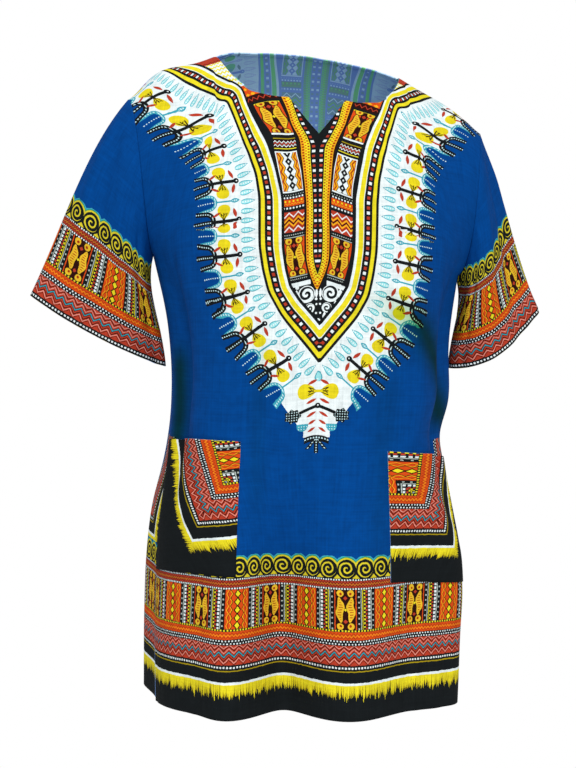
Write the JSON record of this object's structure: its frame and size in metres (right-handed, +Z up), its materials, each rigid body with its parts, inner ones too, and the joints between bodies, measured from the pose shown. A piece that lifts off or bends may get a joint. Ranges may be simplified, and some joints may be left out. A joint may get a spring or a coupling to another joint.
{
  "type": "dashiki shirt",
  "caption": "Short-sleeved pullover dashiki shirt of printed cotton with a notched V neck, patch pockets and side vents, filled out as worn.",
  "frame": {"origin": "middle of the neck opening at the height of the shoulders, where the wearer carries the shirt", "axes": "+Z up the body, from the hem to the neck; -Y is the front of the shirt; +X is the wearer's left"},
  "size_m": [0.62, 0.3021, 0.7795],
  "materials": {
    "front_cotton": "plain-weave cotton, printed, matt with a slight sheen",
    "back_cotton": "plain-weave cotton, printed, matt with a slight sheen",
    "sleeve_cotton": "plain-weave cotton, printed, matt with a slight sheen",
    "pocket_cotton": "plain-weave cotton, printed, matt with a slight sheen"
  },
  "bodies": {
    "root": {"front_panel": "front_cotton", "back_panel": "back_cotton", "sleeve_right": "sleeve_cotton", "sleeve_left": "sleeve_cotton", "pocket_right": "pocket_cotton", "pocket_left": "pocket_cotton"}
  },
  "joints": []
}
